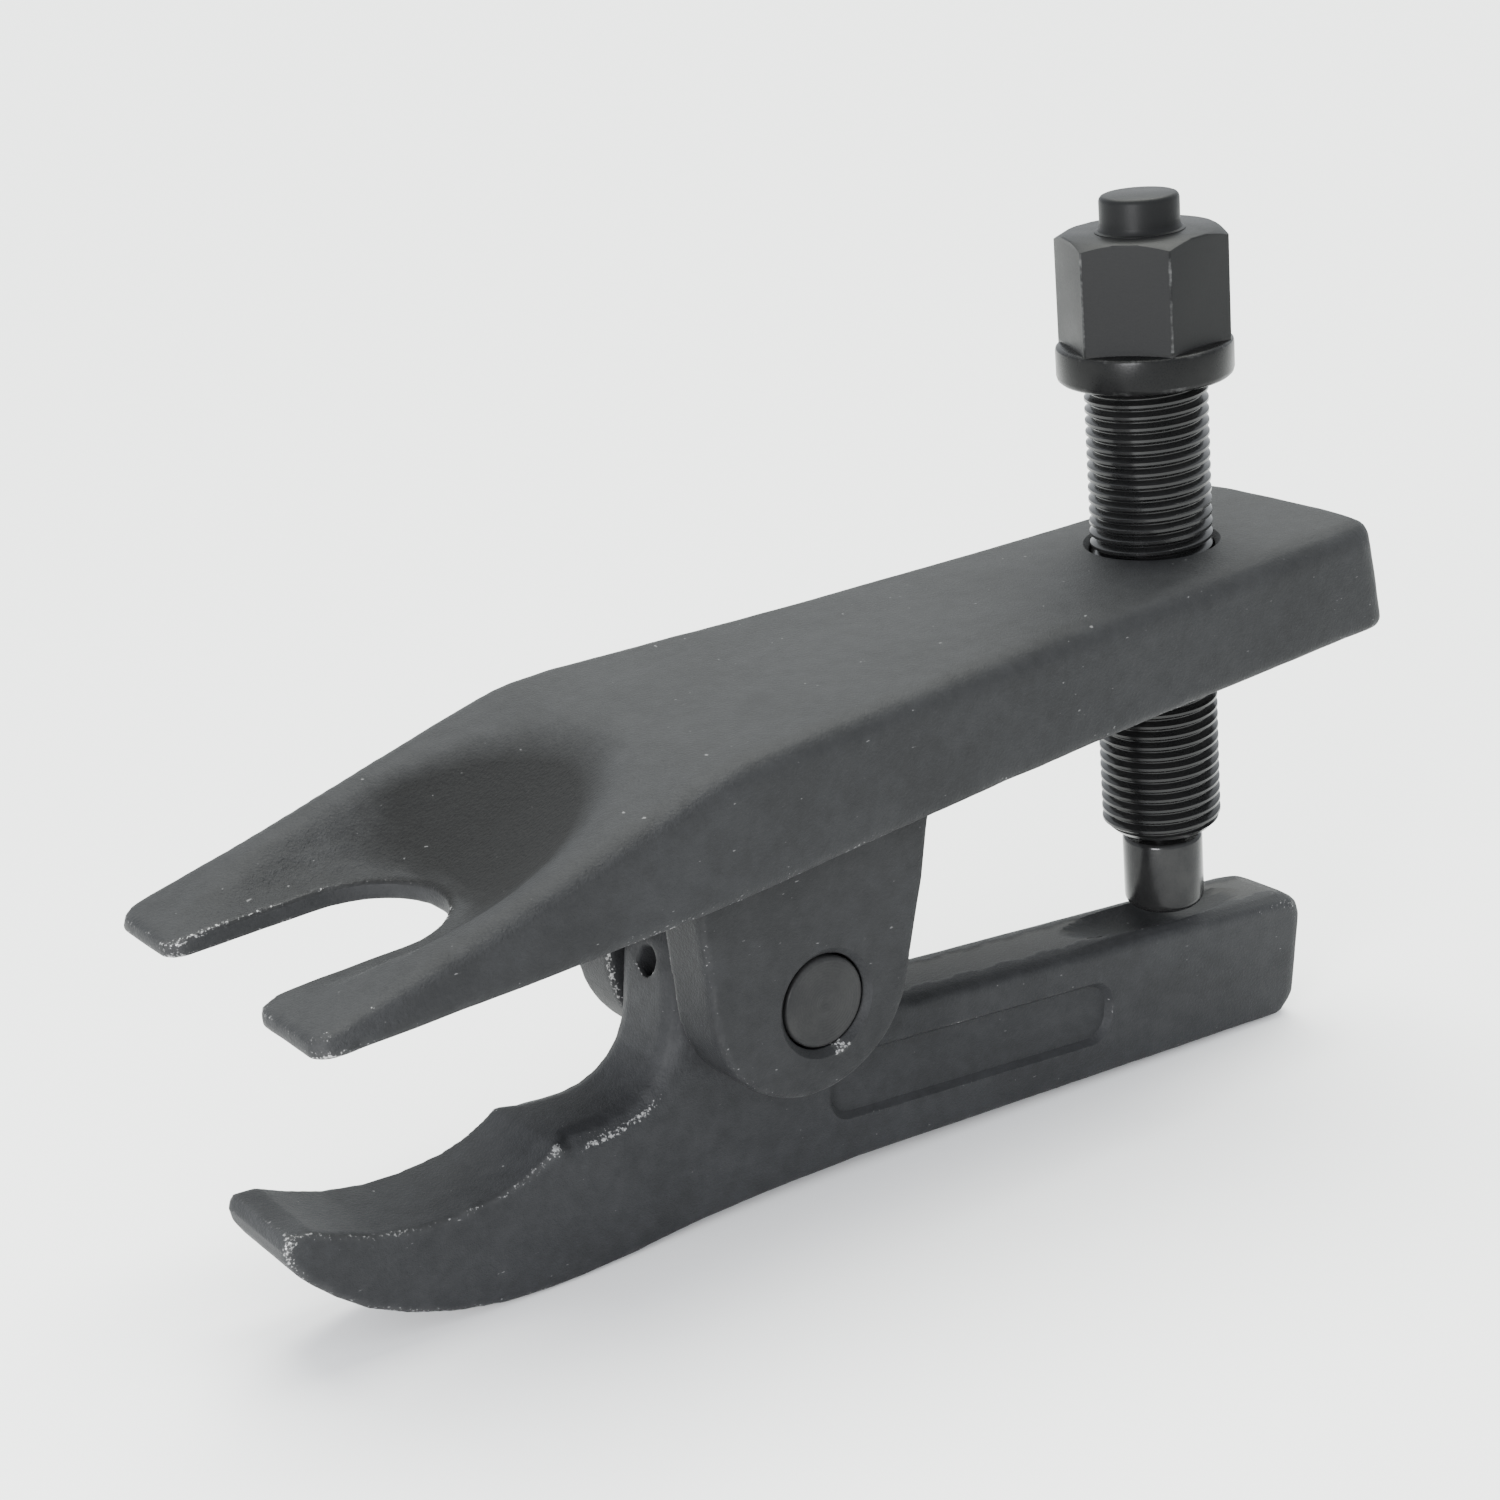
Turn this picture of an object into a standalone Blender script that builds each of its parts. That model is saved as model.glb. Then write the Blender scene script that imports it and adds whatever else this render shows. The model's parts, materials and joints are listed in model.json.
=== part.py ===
# Ball joint separator: a forked arm and a lever arm hinged on a pin and driven
# apart by a forcing screw. Sizes are in millimetres and angles in degrees.
# Each arm has its own frame in the X-Z plane with its zero at the pivot.
import math

import bmesh
import bpy
import numpy as np
from mathutils import Matrix

MM = 0.001

# Where the two arms stand: the lever rests on its belly and tail.
PIVOT_X = -12.22
PIVOT_Z = 29.417
FORK_TILT = 4.75
LEVER_TILT = -1.3

# Forked arm.
FORK_TOP = 36.9
FORK_BOTTOM = 21.6
FORK_TIP_X = -69.4
FORK_TAIL_X = 96.3
FORK_TAIL_CORNER = 4.0
FORK_DRAFT = 0.6
FORK_TAIL_DRAFT = 1.4
FORK_CROWN = 0.8
FORK_CROWN_FROM = -10.0
FORK_CROWN_LENGTH = 70.0
FORK_TIP_CORNER = 3.0
SLOT_MOUTH_CORNER = 2.4
FORK_TOP_EDGE = 2.9
FORK_BOTTOM_EDGE = 1.0
FORK_HALF_WIDTHS = ((-69.4, 23.8), (-45.0, 24.3), (-18.0, 24.1), (0.0, 22.2),
                    (25.0, 20.0), (50.0, 18.4), (70.0, 17.6), (96.3, 16.5))
TINE_BEND_X = -16.3
TINE_SLOPE = 0.25
TINE_BEND_LENGTH = 9.0
SLOT_HALF_WIDTH = 10.2
SLOT_END_CENTRE_X = -51.5
DISH_FLOOR = 24.25
DISH_SIDE_START = 12.0
DISH_SIDE_REACH = 26.0
DISH_SIDE_POWER = 1.6
DISH_BACK_START = 10.8
DISH_BACK_REACH = 33.7
DISH_BACK_POWER = 1.1

# Clevis ears under the forked arm.
EAR_OUTER = 15.2
EAR_INNER = 6.85
EAR_EDGE = 1.0
EAR_FRONT_X = -16.6
EAR_REAR_X = 17.4
EAR_SIDE_TOP = 16.6
EAR_ROUND_X = -1.2
EAR_ROUND_Z = 3.2
EAR_ROUND_R = 14.7
EAR_FILLET = 5.2
EAR_ROOT_Z = 25.0
CLEVIS_ROOF = 19.6

# Pivot pin and the grub screw that locks it in the lever.
PIN_R = 5.75
PIN_HALF_LENGTH = 14.85
PIN_CHAMFER = 0.5
HOLE_GAP = 0.3
PIN_HOLE_CHAMFER = 0.85
GRUB_R = 1.5
GRUB_HOLE_R = 1.8
GRUB_HOLE_CHAMFER = 0.2
GRUB_ANGLE = 164.5
GRUB_MOUTH = 16.1
GRUB_NEAR = 6.6
GRUB_FAR = 12.4
GRUB_SOCKET_R = 0.85
GRUB_SOCKET_DEPTH = 2.2

# Forcing screw, M16 x 1.5, measured from the top face of the forked arm.
SCREW_X = 70.2
THREAD_R = 7.95
THREAD_END_R = 6.75
THREAD_END = -40.2
THREAD_END_CHAMFER = 1.4
FLANGE_R = 11.4
FLANGE_BOTTOM = 22.0
FLANGE_RIM = 26.1
FLANGE_TOP = 27.1
FLANGE_SHOULDER_R = 9.9
HEX_ACROSS_FLATS = 19.5
HEX_TOP = 40.9
HEX_CHAMFER_SLOPE = 0.575
HEX_TURN = 4.1
STUB_R = 5.1
STUB_TOP = 45.5
STUB_CHAMFER = 0.6
BORE_CHAMFER = 0.75
TIP_R = 5.43
TIP_TOP = -41.7
TIP_BOTTOM = -52.05
TIP_BEVEL = 1.3
TIP_SPIGOT_R = 3.0
TIP_SPIGOT_TOP = -34.5

# Lever arm.
JAW_HALF_WIDTH = 7.1
BAR_HALF_WIDTH = 6.5
WIDTH_CHANGE = (-32.0, -19.0)
LEVER_TOP = ((-67.4, -13.2), (-64.5, -13.3), (-61.3, -14.6), (-56.4, -16.1), (-51.3, -16.8),
             (-46.2, -16.8), (-40.9, -16.1), (-37.5, -15.0), (-34.6, -13.4), (-33.0, -12.2),
             (-31.0, -11.7), (-27.6, -11.7), (-24.8, -11.55), (-22.3, -11.0), (-20.2, -10.0),
             (-18.5, -8.6), (-17.2, -6.8), (-16.4, -4.6), (-16.0, -2.0), (-15.9, 1.2))
KNUCKLE_X = -0.7
KNUCKLE_Z = 1.4
KNUCKLE_R = 15.3
KNUCKLE_START = 170.0
KNUCKLE_END = -4.0
BAR_TOP = ((14.4, -3.0), (15.6, -5.4), (17.8, -7.0), (21.0, -7.5), (30.0, -7.75), (70.0, -8.7),
           (87.5, -9.1), (90.6, -9.5), (92.5, -10.6), (93.3, -12.6))
BAR_BOTTOM = ((92.9, -24.4), (91.8, -26.3), (89.2, -27.4), (12.0, -27.4), (-2.0, -28.0),
              (-13.0, -28.8), (-22.0, -29.6), (-29.0, -30.0), (-35.0, -30.2), (-41.0, -29.9),
              (-47.0, -28.9), (-53.0, -27.1), (-58.0, -24.9), (-62.0, -22.2), (-64.8, -19.8),
              (-66.2, -18.4), (-67.6, -16.4), (-68.1, -14.6))
# Edge rounding as (drop from the outline, width across).
EDGE_UNDER = (1.4, 1.4)
EDGE_BAR_TOP = (1.5, 3.4)
EDGE_BAR_END = (2.6, 2.6)
EDGE_JAW = (0.7, 0.7)
EDGE_NECK = (3.6, 3.0)
NECK_EDGE_FROM = -32.5
BAR_END_FROM = 91.0
GROOVE_X = 70.0
GROOVE_TOP = -8.68
GROOVE_HALF_LENGTH = 16.8
GROOVE_DEPTH = 2.2
GROOVE_R = 5.4
GROOVE_Y = -0.35
PANEL_X = 31.6
PANEL_Z = -17.3
PANEL_HALF_LENGTH = 24.2
PANEL_HALF_HEIGHT = 4.5
PANEL_CORNER = 3.6
PANEL_DEPTH = 0.9
PANEL_DRAFT = 0.8
PANEL_TILT = -1.4

SEGMENTS_LARGE = 48
SEGMENTS_SMALL = 32
EDGE_STEPS = 3


def clear_scene():
    for item in list(bpy.data.objects):
        bpy.data.objects.remove(item, do_unlink=True)


def placement(tilt):
    """Matrix from an arm's own frame, in millimetres, to the world in metres."""
    turn = Matrix.Rotation(math.radians(-tilt), 4, "Y")
    move = Matrix.Translation((PIVOT_X * MM, 0.0, PIVOT_Z * MM))
    return move @ turn @ Matrix.Scale(MM, 4)


def material(name, colour, roughness, metallic):
    made = bpy.data.materials.new(name)
    made.use_nodes = True
    shader = made.node_tree.nodes["Principled BSDF"]
    shader.inputs["Base Color"].default_value = (*colour, 1.0)
    shader.inputs["Roughness"].default_value = roughness
    shader.inputs["Metallic"].default_value = metallic
    return made


def new_object(name, mesh_maker):
    data = bpy.data.meshes.new(name)
    mesh_maker.to_mesh(data)
    mesh_maker.free()
    made = bpy.data.objects.new(name, data)
    bpy.context.collection.objects.link(made)
    return made


def rings_to_mesh(rings):
    """Closed body from rings of points with equal counts, capped at both ends."""
    maker = bmesh.new()
    loops = [[maker.verts.new(point) for point in ring] for ring in rings]
    count = len(loops[0])
    for lower, upper in zip(loops[:-1], loops[1:]):
        for index in range(count):
            after = (index + 1) % count
            maker.faces.new((lower[index], lower[after], upper[after], upper[index]))
    maker.faces.new(loops[0])
    maker.faces.new(loops[-1])
    bmesh.ops.recalc_face_normals(maker, faces=maker.faces[:])
    return maker


def lathe(profile, segments, turn=0.0):
    """Solid of revolution about Z from (radius, height) pairs, bottom to top."""
    rings = []
    for radius, height in profile:
        angles = [math.tau * step / segments + turn for step in range(segments)]
        rings.append([(radius * math.cos(a), radius * math.sin(a), height) for a in angles])
    return rings_to_mesh(rings)


def lay_along_y(maker):
    """Turn a body made along Z so that it lies along Y."""
    bmesh.ops.rotate(maker, verts=maker.verts[:], cent=(0, 0, 0), matrix=Matrix.Rotation(math.pi / 2, 3, "X"))
    return maker


def triangulate(data):
    """Split every face of a mesh into triangles, which are always flat."""
    maker = bmesh.new()
    maker.from_mesh(data)
    bmesh.ops.triangulate(maker, faces=maker.faces[:])
    maker.to_mesh(data)
    maker.free()


def cut(target, cutter, kind="DIFFERENCE"):
    """Apply one Boolean to the target and drop the cutter."""
    triangulate(target.data)
    triangulate(cutter.data)
    modifier = target.modifiers.new("cut", "BOOLEAN")
    modifier.operation = kind
    modifier.solver = "EXACT"
    modifier.object = cutter
    bpy.context.view_layer.update()
    result = bpy.data.meshes.new_from_object(target.evaluated_get(bpy.context.evaluated_depsgraph_get()))
    target.modifiers.clear()
    old = target.data
    target.data = result
    bpy.data.meshes.remove(old)
    bpy.data.objects.remove(cutter, do_unlink=True)


def finish(target, tilt, skin, sharp_angle=32.0):
    """Merge stray points, move the body to its place and give it its material."""
    maker = bmesh.new()
    maker.from_mesh(target.data)
    bmesh.ops.remove_doubles(maker, verts=maker.verts[:], dist=0.004)
    flat = math.radians(0.4)
    bmesh.ops.dissolve_limit(maker, angle_limit=flat, verts=maker.verts[:], edges=maker.edges[:])
    bmesh.ops.triangulate(maker, faces=[face for face in maker.faces if len(face.verts) > 4])
    bmesh.ops.recalc_face_normals(maker, faces=maker.faces[:])
    maker.to_mesh(target.data)
    maker.free()
    target.data.transform(placement(tilt))
    target.data.materials.clear()
    target.data.materials.append(skin)
    target.data.shade_smooth()
    target.data.set_sharp_from_angle(angle=math.radians(sharp_angle))


def origin_to(target, tilt, point):
    """Put the object's origin on a point of an arm frame without moving the body."""
    place = placement(tilt) @ Matrix.Translation(point)
    spot = place.to_translation()
    target.data.transform(Matrix.Translation(-spot))
    target.location = spot


def rounded(distance, radius):
    """Height lost at a distance from a rounded edge."""
    if distance >= radius:
        return 0.0
    return radius - math.sqrt(radius * radius - (radius - distance) ** 2)


def fork_half_width(x):
    """Half width in plan, smoothed between the stations, with rounded corners."""
    places = [place for place, width in FORK_HALF_WIDTHS]
    widths = [width for place, width in FORK_HALF_WIDTHS]
    reach = 7.0
    samples = [np.interp(x + reach * step / 4.0, places, widths) for step in range(-4, 5)]
    width = float(sum(samples) / len(samples))
    return width - rounded(FORK_TAIL_X - x, FORK_TAIL_CORNER) - rounded(x - FORK_TIP_X, FORK_TIP_CORNER)


def fork_upper_plane(x):
    """Flat top that bends down toward the tine tips over a short length."""
    beyond = TINE_BEND_X - x
    half = TINE_BEND_LENGTH / 2.0
    if beyond <= -half:
        return FORK_TOP
    if beyond >= half:
        return FORK_TOP - TINE_SLOPE * beyond
    return FORK_TOP - TINE_SLOPE * (beyond + half) ** 2 / (2.0 * TINE_BEND_LENGTH)


def dish_surface(x, y):
    """Scoop round the slot: a flat floor that climbs to the sides and the back."""
    ahead = x - SLOT_END_CENTRE_X
    side = abs(y)
    if ahead <= 0.0:
        turn = 1.0
        radius = side
    else:
        turn = math.atan2(side, ahead) / (math.pi / 2.0)
        radius = math.hypot(ahead, side)
    blend = turn * turn * (3.0 - 2.0 * turn)
    start = DISH_BACK_START + (DISH_SIDE_START - DISH_BACK_START) * blend
    reach = DISH_BACK_REACH + (DISH_SIDE_REACH - DISH_BACK_REACH) * blend
    power = DISH_BACK_POWER + (DISH_SIDE_POWER - DISH_BACK_POWER) * blend
    climb = max(0.0, (radius - start) / (reach - start))
    return DISH_FLOOR + (FORK_TOP - DISH_FLOOR) * climb ** power


def soft_min(first, second, softness):
    """Smaller of two heights, with the crease between them rounded off."""
    gap = max(softness - abs(first - second), 0.0) / softness
    return min(first, second) - gap * gap * softness / 4.0


def fork_plate():
    """Plate of the forked arm as a top and a bottom sheet joined by walls."""
    edge_places = [0.0, 0.15, 0.6, 1.4, 2.9]
    front = [FORK_TIP_X + place for place in edge_places[:4]]
    tines = list(np.arange(FORK_TIP_X + 3.0, -14.0, 2.1))
    middle = list(np.arange(-10.0, FORK_TAIL_X - 6.0, 8.6))
    back = [FORK_TAIL_X - place for place in (5.0, 3.8, 2.4, 1.2, 0.5, 0.12, 0.0)]
    stations = front + [float(x) for x in tines] + [float(x) for x in middle] + back
    inner_count = 9
    top_rows = []
    bottom_rows = []
    for x in stations:
        half = fork_half_width(x)
        inner = [(half - edge_places[-1]) * (1.0 - step / inner_count) for step in range(1, inner_count + 1)]
        sides = [half - place for place in edge_places] + inner
        across = [-value for value in sides] + [value for value in reversed(sides[:-1])]
        top_row = []
        bottom_row = []
        for y in across:
            crown = FORK_CROWN * min(1.0, max(0.0, (x - FORK_CROWN_FROM) / FORK_CROWN_LENGTH))
            plane = fork_upper_plane(x) - crown * (y / half) ** 4
            height = soft_min(plane, dish_surface(x, y), 1.2)
            thick = height - FORK_BOTTOM
            edge = min(half - abs(y), FORK_TAIL_X - x, (x - FORK_TIP_X) * 2.0)
            top_round = min(FORK_TOP_EDGE, thick * 0.42)
            bottom_round = min(FORK_BOTTOM_EDGE, thick * 0.3)
            top_row.append((x, y, height - rounded(max(edge, 0.0), top_round)))
            spread = 1.0 + FORK_DRAFT / half
            tail = max(0.0, x - SCREW_X) * FORK_TAIL_DRAFT / (FORK_TAIL_X - SCREW_X)
            bottom_row.append((x + tail, y * spread, FORK_BOTTOM + rounded(max(edge, 0.0), bottom_round)))
        top_rows.append(top_row)
        bottom_rows.append(bottom_row)
    maker = bmesh.new()
    top = [[maker.verts.new(point) for point in row] for row in top_rows]
    bottom = [[maker.verts.new(point) for point in row] for row in bottom_rows]
    rows = len(top)
    columns = len(top[0])
    for row in range(rows - 1):
        for column in range(columns - 1):
            upper = (top[row][column], top[row + 1][column], top[row + 1][column + 1], top[row][column + 1])
            lower = (bottom[row][column], bottom[row][column + 1],
                     bottom[row + 1][column + 1], bottom[row + 1][column])
            maker.faces.new(upper)
            maker.faces.new(lower)
    for row in range(rows - 1):
        for column in (0, columns - 1):
            wall = (top[row][column], bottom[row][column], bottom[row + 1][column], top[row + 1][column])
            maker.faces.new(wall)
    for column in range(columns - 1):
        for row in (0, rows - 1):
            wall = (top[row][column], top[row][column + 1], bottom[row][column + 1], bottom[row][column])
            maker.faces.new(wall)
    bmesh.ops.recalc_face_normals(maker, faces=maker.faces[:])
    bmesh.ops.dissolve_limit(maker, angle_limit=math.radians(0.3), verts=maker.verts[:], edges=maker.edges[:])
    return maker


def outline_normals(outline):
    """Unit vectors pointing into the material at each point of a closed outline."""
    area = 0.0
    for first, second in zip(outline, outline[1:] + outline[:1]):
        area += first[0] * second[1] - second[0] * first[1]
    sign = 1.0 if area > 0.0 else -1.0
    vectors = []
    count = len(outline)
    for index in range(count):
        before = outline[index - 1]
        after = outline[(index + 1) % count]
        along = (after[0] - before[0], after[1] - before[1])
        length = math.hypot(*along)
        vectors.append((-sign * along[1] / length, sign * along[0] / length))
    return vectors


def slab(outline, half_widths, edges, steps):
    """Slab with its side view given by an outline and its long edges rounded."""
    inward = outline_normals(outline)
    levels = []
    for step in range(steps + 1):
        angle = math.pi / 2.0 * step / steps
        levels.append((1.0 - math.sin(angle), 1.0 - math.cos(angle)))
    rings = []
    for side in (-1.0, 1.0):
        ordered = levels if side < 0.0 else list(reversed(levels))
        for inset, back in ordered:
            ring = []
            for point, normal, half_width, edge in zip(outline, inward, half_widths, edges):
                x = point[0] + normal[0] * inset * edge[0]
                z = point[1] + normal[1] * inset * edge[0]
                ring.append((x, side * (half_width - back * edge[1]), z))
            rings.append(ring)
    return rings_to_mesh(rings)


def ear_outline():
    points = [(EAR_FRONT_X, EAR_ROOT_Z), (EAR_FRONT_X, EAR_SIDE_TOP)]
    for step in range(25):
        angle = math.radians(184.0 + (352.0 - 184.0) * step / 24)
        x = EAR_ROUND_X + EAR_ROUND_R * math.cos(angle)
        points.append((x, EAR_ROUND_Z + EAR_ROUND_R * math.sin(angle)))
    points.append((EAR_REAR_X - 1.2, 11.0))
    corner_x = EAR_REAR_X + 6.4
    corner_z = FORK_BOTTOM - EAR_FILLET + 0.1
    for step in range(6):
        angle = math.radians(176.0 - (176.0 - 92.0) * step / 5)
        points.append((corner_x + 6.4 * math.cos(angle), corner_z + EAR_FILLET * math.sin(angle)))
    points.append((corner_x + 1.0, EAR_ROOT_Z))
    return points


def make_fork_arm(skin):
    arm = new_object("fork_arm", fork_plate())
    outline = ear_outline()
    widths = [EAR_OUTER] * len(outline)
    edges = [(EAR_EDGE, EAR_EDGE)] * len(outline)
    ears = new_object("ears", slab(outline, widths, edges, EDGE_STEPS))
    cut(arm, ears, "UNION")
    slot = []
    for step in range(25):
        angle = math.radians(90.0 - 180.0 * step / 24)
        x = SLOT_END_CENTRE_X + SLOT_HALF_WIDTH * math.cos(angle)
        slot.append((x, SLOT_HALF_WIDTH * math.sin(angle)))
    mouth = []
    for step in range(7):
        angle = math.radians(15.0 * step)
        x = FORK_TIP_X + SLOT_MOUTH_CORNER * (1.0 - math.sin(angle))
        mouth.append((x, SLOT_HALF_WIDTH + SLOT_MOUTH_CORNER * (1.0 - math.cos(angle))))
    mouth.append((FORK_TIP_X - 10.0, mouth[-1][1]))
    slot += [(x, -y) for x, y in mouth] + [(x, y) for x, y in reversed(mouth)]
    rings = [[(x, y, z) for x, y in slot] for z in (FORK_BOTTOM - 8.0, FORK_TOP + 8.0)]
    cut(arm, new_object("slot", rings_to_mesh(rings)))
    gap = bmesh.new()
    bmesh.ops.create_cube(gap, size=1.0)
    depth = CLEVIS_ROOF + 40.0
    bmesh.ops.scale(gap, verts=gap.verts[:], vec=(90.0, EAR_INNER * 2.0, depth))
    bmesh.ops.translate(gap, verts=gap.verts[:], vec=(5.0, 0.0, CLEVIS_ROOF - depth / 2.0))
    cut(arm, new_object("clevis_gap", gap))
    hole_r = PIN_R + HOLE_GAP
    flare = EAR_OUTER - PIN_HOLE_CHAMFER
    profile = [(hole_r + PIN_HOLE_CHAMFER + 1.0, -EAR_OUTER - 1.0), (hole_r, -flare)]
    profile += [(hole_r, flare), (hole_r + PIN_HOLE_CHAMFER + 1.0, EAR_OUTER + 1.0)]
    cut(arm, new_object("pin_hole", lay_along_y(lathe(profile, SEGMENTS_SMALL))))
    bore_r = THREAD_R + HOLE_GAP
    profile = [(bore_r + BORE_CHAMFER + 1.0, FORK_BOTTOM - 1.0), (bore_r, FORK_BOTTOM + BORE_CHAMFER)]
    profile += [(bore_r, FORK_TOP - BORE_CHAMFER), (bore_r + BORE_CHAMFER + 1.0, FORK_TOP + 1.0)]
    bore = lathe(profile, SEGMENTS_LARGE)
    bmesh.ops.translate(bore, verts=bore.verts[:], vec=(SCREW_X, 0.0, 0.0))
    cut(arm, new_object("bore", bore))
    finish(arm, FORK_TILT, skin)
    origin_to(arm, FORK_TILT, (0.0, 0.0, 0.0))
    return arm


def lever_outline():
    """Side view of the lever, from the jaw tip over the top and back underneath."""
    points = list(LEVER_TOP)
    edges = [EDGE_JAW if point[0] < NECK_EDGE_FROM else EDGE_NECK for point in LEVER_TOP]
    steps = 16
    for step in range(steps + 1):
        angle = math.radians(KNUCKLE_START + (KNUCKLE_END - KNUCKLE_START) * step / steps)
        points.append((KNUCKLE_X + KNUCKLE_R * math.cos(angle), KNUCKLE_Z + KNUCKLE_R * math.sin(angle)))
        edges.append(EDGE_NECK if step < steps // 2 else EDGE_UNDER)
    points += list(BAR_TOP)
    edges += [EDGE_BAR_END if point[0] > BAR_END_FROM else EDGE_BAR_TOP for point in BAR_TOP]
    points += list(BAR_BOTTOM)
    for point in BAR_BOTTOM:
        if point[0] > BAR_END_FROM:
            edges.append(EDGE_BAR_END)
        else:
            edges.append(EDGE_UNDER if point[0] > -20.0 else EDGE_JAW)
    widths = [np.interp(point[0], WIDTH_CHANGE, (JAW_HALF_WIDTH, BAR_HALF_WIDTH)) for point in points]
    return points, [float(width) for width in widths], edges


def groove_cutter():
    """Round cutter swung along a shallow arc, which leaves a lens-shaped groove."""
    swing = (GROOVE_HALF_LENGTH ** 2 + GROOVE_DEPTH ** 2) / (2.0 * GROOVE_DEPTH)
    centre_z = GROOVE_TOP + swing - GROOVE_DEPTH
    path = swing - GROOVE_R
    rings = []
    steps = 20
    half_angle = math.asin(GROOVE_HALF_LENGTH / swing) * 1.12
    for step in range(steps + 1):
        angle = -half_angle + 2.0 * half_angle * step / steps
        ring = []
        for spoke in range(SEGMENTS_SMALL):
            around = math.tau * spoke / SEGMENTS_SMALL
            out = path + GROOVE_R * math.cos(around)
            x = GROOVE_X + out * math.sin(angle)
            ring.append((x, GROOVE_Y + GROOVE_R * math.sin(around), centre_z - out * math.cos(angle)))
        rings.append(ring)
    return rings_to_mesh(rings)


def panel_loop(inset):
    """Round-ended outline of the panel, drawn in by an inset."""
    lean = math.radians(PANEL_TILT)
    straight = PANEL_HALF_LENGTH - PANEL_CORNER
    rise = PANEL_HALF_HEIGHT - PANEL_CORNER
    corner_r = PANEL_CORNER - inset
    loop = []
    for corner, (sx, sz) in enumerate(((1, 1), (-1, 1), (-1, -1), (1, -1))):
        for step in range(7):
            angle = math.pi / 2.0 * (corner + step / 6.0)
            u = sx * straight + corner_r * math.cos(angle)
            w = sz * rise + corner_r * math.sin(angle)
            x = PANEL_X + u * math.cos(lean) - w * math.sin(lean)
            z = PANEL_Z + u * math.sin(lean) + w * math.cos(lean)
            loop.append((x, z))
    return loop


def panel_cutter():
    """Shallow blank panel with sloped walls on the near side of the bar."""
    face = -BAR_HALF_WIDTH
    levels = ((face - 2.0, 0.0), (face, 0.0), (face + PANEL_DEPTH, PANEL_DRAFT))
    return rings_to_mesh([[(x, y, z) for x, z in panel_loop(inset)] for y, inset in levels])


def grub_frame():
    """Matrix that stands a body made along Z on the grub screw's line."""
    angle = math.radians(GRUB_ANGLE)
    return Matrix.Rotation(math.pi / 2.0 - angle, 4, "Y")


def make_lever_arm(skin):
    outline, widths, edges = lever_outline()
    arm = new_object("lever_arm", slab(outline, widths, edges, EDGE_STEPS))
    hole_r = PIN_R + HOLE_GAP
    hole = lay_along_y(lathe([(hole_r, -12.0), (hole_r, 12.0)], SEGMENTS_SMALL))
    cut(arm, new_object("pivot_hole", hole))
    flare = GRUB_HOLE_R + GRUB_HOLE_CHAMFER
    reach = GRUB_MOUTH - GRUB_HOLE_CHAMFER
    spread = 1.2
    profile = [(GRUB_HOLE_R, 2.0), (GRUB_HOLE_R, reach)]
    profile += [(flare + spread, reach + GRUB_HOLE_CHAMFER + spread), (flare + spread, reach + 6.0)]
    drilling = lathe(profile, 20)
    bmesh.ops.transform(drilling, matrix=grub_frame(), verts=drilling.verts[:])
    cut(arm, new_object("grub_hole", drilling))
    cut(arm, new_object("groove", groove_cutter()))
    cut(arm, new_object("panel", panel_cutter()))
    finish(arm, LEVER_TILT, skin)
    origin_to(arm, LEVER_TILT, (0.0, 0.0, 0.0))
    return arm


def make_pivot_pin(skin):
    profile = [(PIN_R - PIN_CHAMFER, -PIN_HALF_LENGTH), (PIN_R, -PIN_HALF_LENGTH + PIN_CHAMFER)]
    profile += [(PIN_R, PIN_HALF_LENGTH - PIN_CHAMFER), (PIN_R - PIN_CHAMFER, PIN_HALF_LENGTH)]
    pin = new_object("pivot_pin", lay_along_y(lathe(profile, SEGMENTS_SMALL)))
    finish(pin, LEVER_TILT, skin)
    origin_to(pin, LEVER_TILT, (0.0, 0.0, 0.0))
    return pin


def make_grub_screw(skin):
    profile = [(GRUB_R - 0.5, GRUB_NEAR), (GRUB_R, GRUB_NEAR + 0.5)]
    profile += [(GRUB_R, GRUB_FAR - 0.3), (GRUB_R - 0.3, GRUB_FAR)]
    body = new_object("pin_grub_screw", lathe(profile, 20))
    socket = lathe([(GRUB_SOCKET_R, GRUB_FAR - GRUB_SOCKET_DEPTH), (GRUB_SOCKET_R, GRUB_FAR + 1.0)], 6)
    cut(body, new_object("socket", socket))
    body.data.transform(grub_frame())
    finish(body, LEVER_TILT, skin)
    return body


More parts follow.
